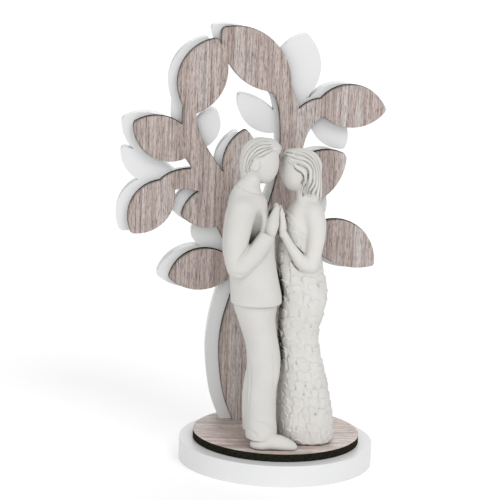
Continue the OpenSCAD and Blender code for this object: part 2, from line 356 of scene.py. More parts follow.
def inside(points, outline, soft, inset=0.0):
    """1 well inside the outline of (x, z) points, 0 outside; its edge is soft wide and inset inwards."""
    o = np.array(outline, float)
    q = points[:, [0, 2]]
    best = np.full(len(q), 1e9)
    crossings = np.zeros(len(q), int)
    for a, b in zip(o, np.roll(o, -1, axis=0)):
        ab = b - a
        t = np.clip(((q - a) @ ab) / (ab @ ab), 0, 1)
        best = np.minimum(best, np.linalg.norm(q - a - t[:, None] * ab, axis=1))
        spans = (a[1] > q[:, 1]) != (b[1] > q[:, 1])
        with np.errstate(divide="ignore", invalid="ignore"):
            at = a[0] + (q[:, 1] - a[1]) * ab[0] / ab[1]
        crossings += spans & (q[:, 0] < at)
    signed = np.where(crossings % 2 == 1, best, -best)
    return np.clip((signed - inset) / soft + 0.5, 0, 1)


def incise(clay, points, normals, strokes, mid, width, depth):
    """How far points move where lines [x, y, z, weight] are carved, on both sides of the plane y = mid."""
    cut = np.zeros(len(points))
    for path in strokes:
        for side in (path, mirrored(path, mid)):
            run = smooth_run(side, 6)
            line = stroke_depth(points, clay.snap(run[:, :3]), width, run[:, 3])
            cut = np.maximum(cut, line)
    return normals * (-cut * depth)[:, None]


# ---------------------------------------------------------------- the groom

# the planes about which the head and the arms are alike
GROOM_MID = -20.3
GROOM_ARMS_MID = -22.4
GROOM_VOXEL = 0.34
CUFF_WINDOW = 12


def sculpt_groom():
    """Columns are [z, x, y, half width, half depth], and the arms' runs are [x, y, z, radius]."""
    clay = Clay((-35, -41.5, 13.8), (12, -3, 174), GROOM_VOXEL)
    near_leg = [
        [19.8, -9.6, -28.9, 7.7, 9.2], [22.5, -9.6, -28.9, 8, 9.2], [31, -9.8, -28.4, 7.5, 8],
        [45, -9.7, -27.6, 7.3, 6.9], [52, -9.2, -27.2, 7.9, 7], [60, -9.3, -26.8, 8.1, 7.5],
        [68, -10.6, -26, 7.2, 7.6], [78, -12.8, -24.6, 6.6, 7], [88, -14.4, -23.5, 6, 6],
    ]
    far_leg = [
        [20.8, -12, -18.6, 6.1, 6], [22.5, -12, -18.6, 6.5, 6.3], [31, -12.5, -18.6, 6.5, 6.2],
        [39, -12.7, -18.7, 6.5, 6.3], [49, -11.9, -18.9, 6.3, 6.6], [58, -10.6, -19.4, 6.6, 7],
        [68, -10.8, -20.6, 7, 7.6], [78, -12.6, -22, 6.6, 7], [88, -14.4, -23.5, 6, 6],
    ]
    hips = [
        [56, -9.8, -23.4, 6, 8], [66, -10.4, -23.4, 7.5, 9.6], [74, -12.5, -23.5, 8.5, 10.3],
        [80, -13.8, -23.5, 9.5, 10.8], [86, -14.5, -23.5, 10.9, 11], [91, -14.6, -23.5, 11.4, 11],
    ]
    jacket = [
        [88, -14.2, -23.5, 12.8, 12.8], [91, -14.3, -23.5, 12.9, 12.6],
        [95, -14.8, -23.5, 12.6, 12.1], [101, -15.8, -23.4, 12.2, 11.4],
        [107, -16.6, -23, 11.8, 10.4], [114, -17.2, -22.8, 11.4, 8.6],
        [120, -17.3, -22.6, 11.3, 7.6], [127, -18.1, -22.4, 10.6, 7.6],
        [133, -19.2, -22.4, 10, 8.8], [137.5, -19.9, -22.2, 9.3, 8.8],
        [141, -20.3, -22, 8.3, 7.6], [143.4, -20.3, -21.8, 7.1, 6.6],
        [145.4, -20, -21.8, 6, 5.9],
    ]
    neck = [
        [134, -19.4, -22, 5.2, 5.4], [142, -19.6, -22, 5.8, 5.6], [146, -19.7, -21.5, 5.5, 5.2],
        [148.5, -19.4, -21.2, 5.2, 5], [152, -18.4, -20.8, 5, 4.9], [157, -17, -20.6, 4.6, 5],
    ]
    arm = [
        [-22.6, -29, 135.6, 6.6], [-24.2, -30.4, 130, 6.4], [-25, -31.4, 124.6, 6.1],
        [-25.8, -32, 118.4, 5.7], [-26.1, -32.2, 112.8, 5.2], [-23.9, -32, 107.4, 5.7],
    ]
    shoulder = [[-20.4, -22, 146.4, 4.7], [-23, -24, 141.6, 5.2], [-24, -27, 137, 5.6]]
    yoke = [[-22.6, -29, 136.4, 5.8], [-18.8, -27.2, 138.4, 4.7], [-14.8, -25, 138.6, 3.8]]
    forearm = [
        [-23.9, -32, 107.4, 5.7], [-20.2, -31.8, 110.6, 5.4], [-16, -31, 114.8, 5],
        [-12.6, -30, 119.4, 4.5], [-10.1, -29.2, 123.6, 4], [-8.5, -28.6, 126.6, 3.9],
    ]
    hand = [
        [-9.6, -28.6, 121, 2.4], [-8.8, -28, 124.6, 2.7], [-7.9, -27.2, 128, 3.1],
        [-7, -26.4, 132, 2.4], [-6.1, -25.8, 135.2, 1.6], [-5.5, -25.4, 137, 1],
    ]
    cuff, cuff_along = np.array([-10.1, -29.2, 123.6]), np.array([0.42, 0.16, 0.893])

    # the shoes, from the heel; the far one is mostly hidden and shorter
    for x, y, length in ((-14.6, -33.4, 1.0), (-14.8, -18.6, 0.6)):
        instep, ball, toe = x + 12 * length, x + 17 * length, x + 20.4 * length
        clay.add(Egg([x + 4.6, y + 0.8, 17], [5.3, 4.8, 4.3]), 1)
        clay.run([[x + 6, y, 18, 4.3], [instep, y, 17.9, 4.4], [ball, y - 0.2, 16.8, 3.8],
                  [toe, y - 0.2, 15.8, 2.9]], 2)
    clay.d = np.maximum(clay.d, SOLE - clay.axes[2][None, None, :]).astype(np.float32)
    clay.add(Column(near_leg, 0.3))
    clay.add(Column(far_leg, 0.3), 0.8)
    clay.add(Column(hips, 2), 4)
    clay.add(Column(jacket, 0.4))
    # the hollows between the arms and the chest
    for y, deep in ((-33.2, 7.4), (-11.6, 5)):
        clay.add(Egg([-17, y, 125], [4.7, deep, 14], 14), 2, blend_cut)
    for far_side in (False, True):
        for part, k in ((yoke, 2.5), (shoulder, 2), (arm, 1.2)):
            clay.run(mirrored(part, GROOM_ARMS_MID) if far_side else part, k)
    # the sleeves end in a flat cuff, so they are made apart and cut before they join
    for far_side in (False, True):
        c, along = cuff.copy(), cuff_along.copy()
        if far_side:
            c[1], along[1] = 2 * GROOM_ARMS_MID - c[1], -along[1]
        sleeve = clay.like(np.full_like(clay.d, FAR))
        sleeve.run(mirrored(forearm, GROOM_ARMS_MID) if far_side else forearm)
        cut, (x, y, z) = clay.window(c - CUFF_WINDOW, c + CUFF_WINDOW)
        beyond = (x - c[0]) * along[0] + (y - c[1]) * along[1] + (z - c[2]) * along[2]
        sleeve.d[cut] = blend_cut(sleeve.d[cut], -beyond, 0.5)
        clay.d = blend_in(clay.d, sleeve.d, 1.2).astype(np.float32)
        clay.run(mirrored(hand, GROOM_ARMS_MID) if far_side else hand, 0.15)
    clay.add(Column(neck, 2), 0.25)
    # skull, nape, face, front hair and ears
    clay.add(Egg([-14.8, GROOM_MID, 160.3], [9.3, 8.6, 10.1]), 0.8)
    clay.add(Egg([-19.4, GROOM_MID, 156], [4.8, 7, 6]), 1.5)
    clay.add(Egg([-12.2, GROOM_MID, 158.2], [7, 7.5, 10.3]), 0.8)
    clay.add(Egg([-8.4, GROOM_MID, 166.4], [4.6, 6.4, 2.6], 40), 1.5)
    for side in (-1, 1):
        y = GROOM_MID + side * 7.7
        clay.add(Egg([-17.4, y, 157.8], [2.3, 1.5, 2.9], 14), 0.8)
        clay.add(Egg([-16.4, y + side * 1.7, 157.6], [1, 0.7, 1.7], 14), 0.9, blend_cut)
    return clay


# outline of the hair from the side, as (x, z)
GROOM_HAIR = [
    [-3, 165], [-6.2, 165.7], [-9.2, 165.2], [-11.3, 164.2], [-13.7, 162], [-15.9, 161.3],
    [-17.7, 161.4], [-19.3, 160.4], [-19.8, 158.3], [-19.3, 156.4], [-19.6, 154.8], [-21.1, 153.1],
    [-22.3, 151.9], [-24, 150.8], [-30, 149.5], [-30, 180], [2, 180],
]
# carved lines [x, y, z, weight]
GROOM_STROKES = [
    # the neckband, the hollow of the ear, then the hair
    [[-24.9, -21, 146.4, 0.1], [-23.6, -25.2, 145.2, 0.42], [-20.4, -27.4, 144, 0.48],
     [-16.4, -27, 143, 0.46], [-13.2, -24.4, 142.4, 0.36]],
    [[-15.8, -28, 160.2, 0.3], [-15.1, -28.2, 158.4, 0.6], [-15.2, -28.2, 156.6, 0.5],
     [-16, -28, 155.2, 0.3]],
    [[-7.5, -24, 169.6, 0.6], [-12, -24.5, 170, 1], [-17, -25, 168.6, 1], [-21, -25.5, 165.4, 1],
     [-23.6, -25, 160.5, 0.9], [-24, -24.6, 154.5, 0.7]],
    [[-7.6, -25.6, 168.6, 0.6], [-12.4, -26.5, 168.7, 1], [-16.6, -27, 167.4, 1.1],
     [-20.2, -27.5, 164.4, 1], [-22.6, -27.4, 160, 1], [-23.2, -27, 154, 0.8]],
    [[-8, -26.6, 167.6, 0.6], [-12.6, -27.8, 167.2, 1], [-16.2, -28, 165.7, 1.1],
     [-19.4, -28.4, 162.8, 1], [-21.9, -28.2, 159, 1], [-22.4, -27.6, 153.4, 0.8]],
    [[-8.4, -27, 166.6, 0.6], [-11.8, -28, 166.1, 1], [-15.2, -28.8, 164.4, 1.1], [-18.4, -29, 162.2, 1],
     [-20.8, -28.8, 159.2, 0.9], [-21.4, -28, 154, 0.8]],
    [[-9.4, -27.8, 165.2, 0.7], [-12.2, -28.4, 163.9, 1.1], [-14.6, -28.9, 162.6, 1],
     [-17.4, -29, 162, 0.7]],
    [[-13.5, -26, 169.3, 0.5], [-18, -26.2, 168, 0.8], [-21.8, -26.6, 163.6, 0.6]],
    [[-17.6, -28.6, 163.9, 0.5], [-20.2, -28.6, 161.2, 0.9], [-21.9, -28, 157.4, 0.6]],
    [[-20.3, -28.6, 160.2, 0.6], [-20.6, -28.4, 157, 1], [-20.5, -28, 154.2, 0.8]],
    [[-6.6, -22.6, 168.8, 0.5], [-11, -22.4, 171, 0.9], [-17, -22.2, 170.8, 1], [-22.4, -22.2, 166.4, 1],
     [-24.6, -22.2, 160, 0.9], [-24.8, -22.4, 153.4, 0.7]],
    [[-5.6, -20.9, 168.2, 0.5], [-12, -20, 171.4, 0.8], [-18, -20.6, 170.6, 0.9], [-23, -20, 166, 1],
     [-25, -20.6, 160, 0.8], [-25, -20.3, 153, 0.7]],
    [[-9, -24.6, 169.4, 0.4], [-13, -23.6, 170.6, 0.7], [-18, -23.6, 169.8, 0.8],
     [-22.8, -23.6, 165, 0.8], [-24.6, -23.6, 158, 0.6]],
]
GROOM_FOLDS = [
    # where the sleeve bends, the trouser crease, two folds above the hem, and one down the front
    [[-25.6, -36.6, 108.4, 0.5], [-23.6, -37, 112.2, 1], [-20.8, -35, 116.6, 0.6]],
    [[-26.4, -37, 105.6, 0.3], [-23.8, -37.5, 104.2, 0.6], [-20.6, -36.6, 104.6, 0.3]],
    [[-16.6, -31, 57, 0.2], [-16.9, -31, 49, 0.8], [-17.1, -31, 41, 0.9], [-17.6, -30.6, 34, 0.9],
     [-17.4, -31, 24, 0.5]],
    [[-12.6, -33.4, 28.8, 0.3], [-8.4, -34, 27.6, 0.9], [-4, -32.4, 24.6, 0.4]],
    [[-14.4, -32, 24.6, 0.2], [-11, -34, 23.6, 0.5], [-7, -34, 22.6, 0.2]],
    [[-5.6, -33.4, 66, 0.2], [-4, -33, 56, 0.6], [-3.4, -32.6, 46, 0.3]],
]


# ---------------------------------------------------------------- the bride

BRIDE_MID = -13
BRIDE_VOXEL = 0.3
# runs [x, y, z, radius]
BRIDE_ARM = [
    [12.8, -18.8, 133.8, 5.3], [14.6, -20, 127.6, 4.9], [14.7, -20.5, 121.6, 4.5],
    [14, -20.7, 114, 3.9], [12.6, -20.9, 107, 4.1],
]
BRIDE_NEAR_FOREARM = [
    [12.6, -20.9, 107, 4.1], [8.9, -21.2, 107.8, 3.5], [5.3, -21.8, 112, 2.8],
    [1.8, -22.6, 117, 2.2], [-2.3, -24, 124.2, 1.85],
]
BRIDE_FAR_FOREARM = [
    [12.6, -5.1, 107, 4.1], [8.9, -5.4, 107.8, 3.5], [5.3, -7, 112, 2.8],
    [1.8, -10, 117, 2.2], [-2.3, -15, 124.2, 1.85],
]


def bride_limbs_distance(points):
    """How far each point lies from the bare arms."""
    x, y, z = points.T
    d = np.full(len(points), FAR)
    for run in (BRIDE_ARM, mirrored(BRIDE_ARM, BRIDE_MID), BRIDE_NEAR_FOREARM, BRIDE_FAR_FOREARM):
        p = smooth_run(run)
        for a, b in zip(p[:-1], p[1:]):
            d = np.minimum(d, Cone(a, b)(x, y, z))
    return d


def sculpt_bride():
    """Columns are [z, x, y, half width, half depth], and the locks of hair are runs [x, y, z, radius]."""
    clay = Clay((-6, -29, 13.8), (30.5, 6.5, 168), BRIDE_VOXEL)
    dress = [
        [SOLE, 14.2, -11.6, 12.8, 15.4], [17, 14.2, -11.6, 13.3, 16],
        [22, 13.9, -12, 13.3, 15.5], [30, 13.3, -12.2, 13.1, 14.2],
        [38, 12.5, -12.8, 12.3, 12.8], [47, 11.6, -13.2, 11.2, 11.6],
        [58, 10, -13.6, 9.8, 10], [66, 8.7, -13.8, 9.3, 9.2],
        [71, 8.2, -14, 9.4, 9.2], [77, 8.7, -14.2, 9.9, 9.8],
        [83, 9.6, -14.4, 10.5, 10.4], [89, 10, -14.6, 10.9, 10.8],
        [95, 9.6, -14.4, 11.2, 10.8], [101, 8.4, -13.6, 11.2, 9.8],
        [106, 7.7, -12.9, 10.6, 8.6], [112, 6.7, -12.6, 10.1, 7.8],
        [118, 6.6, -12.6, 9.6, 7.6], [125, 7.5, -13, 9, 8.4],
        [131, 8.3, -13, 8.7, 9], [135.5, 9.2, -13, 7.4, 8.8],
        [139, 9.4, -13, 5.4, 6.8], [142, 8.6, -13, 4.3, 4.7],
        [149, 7, -13, 4, 4.3],
    ]
    # the dress is squarer than an oval, so that it stays bright up to the slit beside the groom
    clay.add(Column(dress, 0.5, 2.8))
    # the far side of the dress reaches the groom, so the slit between the two is a dark one
    train = [
        [SOLE, 6.2, -6, 6, 4.6], [60, 6.2, -6, 6.2, 4.6], [68, 4.6, -6, 6.2, 4.6],
        [80, 4, -6, 6.2, 4.6], [89, 5.5, -6, 6, 4.6], [96, 4.6, -6, 5.9, 4.6],
        [102, 3.6, -6, 5.9, 4.6], [108, 2.6, -6, 5.9, 4.4], [114, 1.4, -6.4, 5.7, 4],
        [118.5, 0.8, -7, 5.4, 3.6],
    ]
    clay.add(Column(train, 2), 1.5)
    for part, k in (
        (BRIDE_ARM, 1.8),
        (mirrored(BRIDE_ARM, BRIDE_MID), 1.8),
        (BRIDE_NEAR_FOREARM, 0.6),
        (BRIDE_FAR_FOREARM, 0.6),
    ):
        clay.run(part, k)
    # each hand is two runs side by side, which meet at the finger tips
    for y in (-24, -15.6):
        for off in (-0.9, 0.9):
            palm = [[-2.4, y, 123.6, 1.8], [-2.9, y - 0.2 + off, 128.4, 1.35]]
            fingers = [[-3.2, y - 0.6 + off, 132.6, 1.05], [-3.5, y - 1 + off * 0.5, 135.8, 0.75]]
            clay.run(palm + fingers, 0.6)
    # skull, face, forehead and the fall of hair
    clay.add(Egg([6.4, BRIDE_MID, 155.5], [9.7, 8.4, 8.7]), 0.6)
    clay.add(Egg([3.4, BRIDE_MID, 153.4], [7, 7.3, 10.2]), 0.8)
    clay.add(Egg([1.6, BRIDE_MID, 159.8], [5.3, 6.4, 4.4]), 1.2)
    hair = [
        [138.6, 13.4, -13, 3.4, 5.8], [147, 12.2, -13, 4.2, 7.6],
        [155, 10.6, -13, 4.8, 8.1], [160, 9, -13, 5, 7.6],
    ]
    clay.add(Column(hair, 2), 1.2)
    clay.keep_base()
    locks = [
        [[-2.2, -19, 160.6, 0.6], [1.2, -20.6, 158.8, 0.9], [3.8, -20.8, 156.6, 1.1],
         [6.3, -20.8, 155.2, 1.2], [8, -20.6, 152.8, 1.1], [8.2, -20, 149.4, 1], [7, -19, 145.6, 0.9],
         [6.6, -18, 142.2, 0.5]],
        [[-3.2, -17.6, 161.6, 0.7], [1.4, -20.2, 160.6, 0.9], [6, -21.2, 159.6, 1.2],
         [9.4, -21.2, 157.4, 1.3], [10.9, -20.8, 153.8, 1.3], [10.9, -20.4, 149.8, 1.2],
         [9.2, -19.6, 145.4, 1.1], [7.8, -19, 141.4, 0.5]],
        [[-3.2, -16.4, 162.5, 0.7], [2, -19.6, 162.2, 1], [6.9, -20.9, 161.2, 1.2],
         [10.6, -21, 158.5, 1.3], [12.3, -20.8, 154.2, 1.3], [12.5, -20.6, 150, 1.2],
         [11.2, -20.2, 145.8, 1.1], [9, -19.6, 142.2, 0.5]],
        [[-2.4, -15.4, 163.3, 0.7], [3, -18.4, 163.6, 1], [8.2, -19.6, 162.4, 1.3], [12, -20, 159, 1.4],
         [13.7, -20.2, 154.2, 1.4], [13.9, -20.2, 149.8, 1.3], [12.8, -20, 145.4, 1.2],
         [11.4, -19.8, 142.6, 0.6]],
        [[-0.6, -14.8, 164.2, 0.7], [4.4, -17, 164.8, 1.1], [9.2, -18.2, 163.4, 1.4],
         [13, -18.8, 159.6, 1.5], [15, -19, 154, 1.5], [15.2, -19.2, 148.8, 1.4], [14.4, -19, 143.8, 1.3],
         [15.2, -19, 139.6, 0.6]],
        [[1.4, -14.4, 164.8, 0.7], [6.4, -15.6, 165.4, 1.1], [11, -16.4, 163.4, 1.4],
         [14.4, -17, 159.4, 1.5], [16.2, -17.2, 153.8, 1.5], [16.7, -17.4, 147.8, 1.4],
         [16.8, -17.2, 142, 1.2], [17.2, -17, 138, 0.6]],
        [[2.4, -13, 165, 0.8], [7.4, -13, 165.4, 1.4], [12.4, -13, 162.6, 1.7], [15.6, -13, 158, 1.8],
         [16.8, -13, 152, 1.8], [17.4, -13, 145, 1.6], [17.6, -13, 138.6, 0.8]],
    ]
    for lock in locks:
        in_the_middle = lock[0][1] == BRIDE_MID
        for side in [lock] if in_the_middle else [lock, mirrored(lock, BRIDE_MID)]:
            clay.strand(side, 0.95, 0.06)
    return clay


BRIDE_STROKES = [
    # between the locks, and the notch and pit at the temple
    [[-3.4, -17.6, 162, 0.6], [1, -19.8, 161.4, 0.9], [5.4, -21.2, 160.6, 1], [9.4, -21.2, 158.4, 1],
     [11.5, -20.9, 154.4, 1], [11.8, -20.6, 150, 1], [10.3, -20, 145.6, 1], [8.6, -19.4, 142, 0.8]],
    [[-1.6, -19.6, 160.4, 0.5], [2.6, -20.9, 158.6, 1], [5.6, -21.2, 157.6, 1], [8.8, -21.1, 155.6, 1],
     [9.7, -20.7, 152.2, 1], [9.5, -20.2, 148.6, 1], [8, -19.2, 144.6, 1], [7.2, -18.6, 142, 0.8]],
    [[1.8, -20.7, 157.6, 0.6], [2.6, -20.9, 155.9, 1.2], [4.6, -20.9, 154.6, 1.2],
     [6.5, -20.8, 153.6, 1.2], [7.3, -20.6, 152, 1.5], [7.2, -20.2, 150.6, 1.3], [6.6, -19.6, 147.6, 1.1],
     [6.1, -18.6, 144, 0.9]],
    [[-2.6, -15.8, 163.2, 0.5], [2.6, -18.6, 163.1, 0.9], [7.6, -20.2, 162, 1], [11.4, -20.5, 158.8, 1],
     [13.1, -20.4, 154.2, 1], [13.3, -20.4, 149.8, 1], [12, -20, 145.2, 1], [10.6, -19.8, 142.4, 0.9]],
    [[0.8, -15.4, 164.6, 0.5], [5.8, -17.4, 164.4, 1], [10.2, -18.6, 162, 1], [13.4, -19.4, 157.6, 1],
     [14.4, -19.6, 152, 1], [14.2, -19.6, 146, 1], [13.6, -19.6, 142.6, 0.9]],
    [[2.4, -14, 165, 0.5], [8, -15.6, 165, 0.9], [12.6, -16.8, 161.8, 1], [15.4, -17.8, 156, 1],
     [16, -18.2, 149.4, 1], [15.8, -18.2, 143, 0.9], [16.2, -18, 139.2, 0.7]],
    [[2.2, -18.4, 163.9, 0.6], [3.4, -19.4, 162.6, 1], [5, -20, 162, 0.5]],
]
# outline of the dress from the side, as (x, z): it slopes at the front and runs level round the back
NECKLINE = [
    [-6, 135.6], [-0.5, 133.4], [3.8, 130.8], [7.2, 127.9], [10.3, 125.4],
    [14, 124.4], [32, 124.4], [32, 10], [-10, 10],
]
# the middle line of the dress and its mean radius, against height
DRESS_Z = [15, 30, 47, 66, 89, 106, 118, 131]
DRESS_X = [15, 13.5, 11.7, 9.2, 10.6, 8.4, 6.9, 8.3]
DRESS_Y = -11.8
DRESS_RADIUS = [14.3, 14, 11.4, 9.1, 10.7, 9.6, 8.6, 9]
# the rows of scales, and the ranges that each scale draws its shape from
LOWEST_ROW, HIGHEST_ROW = 13.5, 136
SCALE_ROW = 4.4
SCALE_WIDTH = 4
SCALE_SHIFT = 0.3
SCALE_LIFT = 1.9
SCALE_HALF = (1.6, 2.5)
SCALE_LEAN = 0.16
SCALE_RISE = (0.75, 1.15)
SCALE_FADE = 6
SCALE_EDGE = 0.32
SLIT_SHARE = 0.3
SLIT_PLACE = (3.4, 5.5)
BODICE = 124


def dress_scales(points):
    """How far each point of the dress stands out: rows of overlapping round-topped scales, no two alike."""
    draw = np.random.default_rng(7)
    height = np.zeros(len(points))
    slit = np.zeros(len(points))
    angle = np.arctan2(points[:, 1] - DRESS_Y, points[:, 0] - curve(DRESS_Z, DRESS_X, points[:, 2]))
    radius = curve(DRESS_Z, DRESS_RADIUS, points[:, 2])
    z, row = LOWEST_ROW, 0
    while z < HIGHEST_ROW:
        count = int(round(2 * math.pi * float(np.interp(z, DRESS_Z, DRESS_RADIUS)) / SCALE_WIDTH))
        for i in range(count):
            shift = draw.uniform(-SCALE_SHIFT, SCALE_SHIFT)
            around = (i + 0.5 * (row % 2) + shift) / count * 2 * math.pi
            top = z + draw.uniform(-SCALE_LIFT, SCALE_LIFT)
            half = draw.uniform(*SCALE_HALF)
            lean = draw.uniform(-SCALE_LEAN, SCALE_LEAN)
            rise = draw.uniform(*SCALE_RISE)
            near = np.abs(points[:, 2] - top + 4) < 6
            index = np.flatnonzero(near)
            turn = (angle[index] - around + math.pi) % (2 * math.pi) - math.pi
            u = turn * radius[index] + lean * (points[index, 2] - top)
            v = top - points[index, 2]
            # distance inside the scale: a round top, straight sides that draw in below
            body = half * (1 - 0.05 * np.clip(v, 0, 9))
            edge = np.where(v < half, half - np.hypot(u, v - half), body - np.abs(u))
            step = np.clip(edge / SCALE_EDGE, 0, 1)
            step = step * step * (3 - 2 * step)
            fall = np.clip(1 - v / SCALE_FADE, 0, 1)
            rim = 0.32 * np.exp(-((edge - 0.45) / 0.3) ** 2)
            scale = rise * step * (0.25 + 0.75 * fall) + rim * (step > 0) * fall
            height[index] = np.maximum(height[index], scale)
            # here and there a short slit down one side
            if draw.random() < SLIT_SHARE and top < BODICE:
                side = half if draw.random() < 0.5 else -half
                pit = np.exp(-(((u - side) / 0.3) ** 2) - ((v - draw.uniform(*SLIT_PLACE)) / 0.9) ** 2)
                slit[index] = np.maximum(slit[index], pit)
        z += SCALE_ROW
        row += 1
    # fainter on the bodice, and gone at the foot, which stands flat
    bodice = np.clip((BODICE - points[:, 2]) / 9, 0.35, 1)
    foot = np.clip((points[:, 2] - 15.6) / 2.5, 0, 1)
    return (height * 0.78 - slit * 0.5) * bodice * foot


# ---------------------------------------------------------------- materials


def material(name, colour, roughness, metallic=0.0):
    """A new material with its nodes, links and Principled shader."""
    m = bpy.data.materials.new(name)
    m.use_nodes = True
    n = m.node_tree.nodes
    shader = n["Principled BSDF"]
    shader.inputs["Base Color"].default_value = (*colour, 1)
    shader.inputs["Roughness"].default_value = roughness
    shader.inputs["Metallic"].default_value = metallic
    return m, n, m.node_tree.links, shader


def noise(n, links, vector, scale, detail=3.0, rough=0.5, distortion=0.0):
    """Noise between 0 and 1, scale bumps to a metre."""
    t = n.new("ShaderNodeTexNoise")
    t.inputs["Scale"].default_value = scale
    t.inputs["Detail"].default_value = detail
    t.inputs["Roughness"].default_value = rough
    t.inputs["Distortion"].default_value = distortion
    links.new(vector, t.inputs["Vector"])
    return t.outputs["Fac"]


def place(n, links, scale=(1, 1, 1)):
    """Object coordinates, squeezed along some axes so that what is drawn on them is stretched."""
    c = n.new("ShaderNodeTexCoord")
    m = n.new("ShaderNodeMapping")
    m.inputs["Scale"].default_value = scale
    links.new(c.outputs["Object"], m.inputs["Vector"])
    return m.outputs["Vector"]


def ramp(n, links, fac, stops):
    """Colour read from fac: stops are (place, colour or grey)."""
    r = n.new("ShaderNodeValToRGB")
    e = r.color_ramp.elements
    while len(e) < len(stops):
        e.new(0.5)
    for item, (at, colour) in zip(e, stops):
        item.position = at
        item.color = (*colour, 1) if not isinstance(colour, float) else (colour, colour, colour, 1)
    links.new(fac, r.inputs["Fac"])
    return r.outputs["Color"]


def mix(n, links, kind, fac, a, b):
    """Colours a and b, or sockets that give them, mixed by the blend named kind."""
    m = n.new("ShaderNodeMix")
    m.data_type = "RGBA"
    m.blend_type = kind
    for socket, value in ((m.inputs[0], fac), (m.inputs[6], a), (m.inputs[7], b)):
        if isinstance(value, bpy.types.NodeSocket):
            links.new(value, socket)
        else:
            socket.default_value = value if isinstance(value, float) else (*value, 1)
    return m.outputs[2]


def maths(n, links, kind, a, b=0.0, c=0.0):
    """One sum over numbers or sockets."""
    m = n.new("ShaderNodeMath")
    m.operation = kind
    for socket, value in zip(m.inputs, (a, b, c)):
        if isinstance(value, bpy.types.NodeSocket):
            links.new(value, socket)
        else:
            socket.default_value = value
    return m.outputs[0]


def bump(n, links, shader, height, distance):
    """Fine relief, distance metres high, too small to be modelled."""
    b = n.new("ShaderNodeBump")
    b.inputs["Strength"].default_value = 1.0
    b.inputs["Distance"].default_value = distance
    links.new(height, b.inputs["Height"])
    links.new(b.outputs["Normal"], shader.inputs["Normal"])


def lacquer_material():
    """Sprayed satin white on fibreboard."""
    m, n, links, shader = material("white_lacquer", (0.7, 0.705, 0.7), 0.38)
    v = place(n, links)
    whites = [(0.3, (0.69, 0.696, 0.694)), (0.7, (0.72, 0.725, 0.722))]
    white = ramp(n, links, noise(n, links, v, 18, 2), whites)
    links.new(white, shader.inputs["Base Color"])
    sheen = maths(n, links, "MULTIPLY_ADD", noise(n, links, v, 900, 2), 0.16, 0.3)
    links.new(sheen, shader.inputs["Roughness"])
    bump(n, links, shader, noise(n, links, v, 320, 2), 0.00004)
    return m


# a face that looks along its board's axis less than this is a cut side
SIDE_LIMIT = 0.97
# how far in from the edge the smoke line reaches, in millimetres
SMOKE_REACH = 1.4


def veneer_material(name, grain, face_axis, light=1.0, smoke=None):
    """Grey-brown veneer: the grain runs along axis grain; faces that don't look along face_axis are burnt.

    A thin line of smoke from the laser marks the edges that face the direction smoke.
    """
    m, n, links, shader = material(name, (0.4, 0.33, 0.29), 0.6)

    def stretched(by):
        return place(n, links, tuple(by if axis == grain else 1.0 for axis in range(3)))

    bands = noise(n, links, stretched(0.02), 210, 3, 0.6, 0.3)
    stripes = noise(n, links, stretched(0.022), 1150, 3, 0.75, 0.15)
    pore = noise(n, links, stretched(0.07), 2100, 2, 0.7)
    fleck = noise(n, links, stretched(0.25), 1900, 1, 0.6)
    tones = (
        (0.3, 0.34, 0.27, 0.245),
        (0.5, 0.47, 0.39, 0.36),
        (0.62, 0.5, 0.45, 0.43),
        (0.75, 0.57, 0.53, 0.51),
    )
    # light above 1 paints light: a lighter copy of the same veneer
    base = ramp(n, links, bands, [(at, (r * light, g * light, b * light)) for at, r, g, b in tones])
    layers = (
        (stripes, [(0.34, (0.5, 0.46, 0.44)), (0.46, (0.86, 0.84, 0.83)), (0.6, (1.08, 1.08, 1.09))]),
        (pore, [(0.34, (0.36, 0.34, 0.33)), (0.47, (1.0, 1.0, 1.0))]),
        (fleck, [(0.35, (0.86, 0.86, 0.86)), (0.65, (1.12, 1.12, 1.12))]),
    )
    wood = base
    for fac, stops in layers:
        wood = mix(n, links, "MULTIPLY", 1.0, wood, ramp(n, links, fac, stops))
    char = noise(n, links, place(n, links), 700, 3)
    burnt = ramp(n, links, char, [(0.3, (0.006, 0.007, 0.004)), (0.7, (0.022, 0.021, 0.013))])
    g = n.new("ShaderNodeNewGeometry")
    s = n.new("ShaderNodeSeparateXYZ")
    links.new(g.outputs["True Normal"], s.inputs[0])
    facing = maths(n, links, "ABSOLUTE", s.outputs[face_axis])
    is_side = maths(n, links, "LESS_THAN", facing, SIDE_LIMIT)
    dark = is_side
    if smoke:
        rounded = n.new("ShaderNodeBevel")
        rounded.samples = 4
        rounded.inputs["Radius"].default_value = SMOKE_REACH * MM
        lean = n.new("ShaderNodeVectorMath")
        lean.operation = "DOT_PRODUCT"
        links.new(rounded.outputs["Normal"], lean.inputs[0])
        lean.inputs[1].default_value = smoke
        # none where the lean is under 0.08, full from 0.19
        line = maths(n, links, "MULTIPLY_ADD", lean.outputs["Value"], 9.0, -0.7)
        dark = maths(n, links, "MINIMUM", maths(n, links, "MAXIMUM", is_side, line), 1.0)
    links.new(mix(n, links, "MIX", dark, wood, burnt), shader.inputs["Base Color"])
    rough = maths(n, links, "MULTIPLY_ADD", stripes, 0.2, 0.42)
    rough = maths(n, links, "MAXIMUM", rough, maths(n, links, "MULTIPLY", is_side, 0.8))
    links.new(rough, shader.inputs["Roughness"])
    links.new(maths(n, links, "MULTIPLY_ADD", is_side, -0.45, 0.5), shader.inputs["Specular IOR Level"])
    bump(n, links, shader, mix(n, links, "MULTIPLY", 1.0, stripes, pore), 0.00012)
    return m


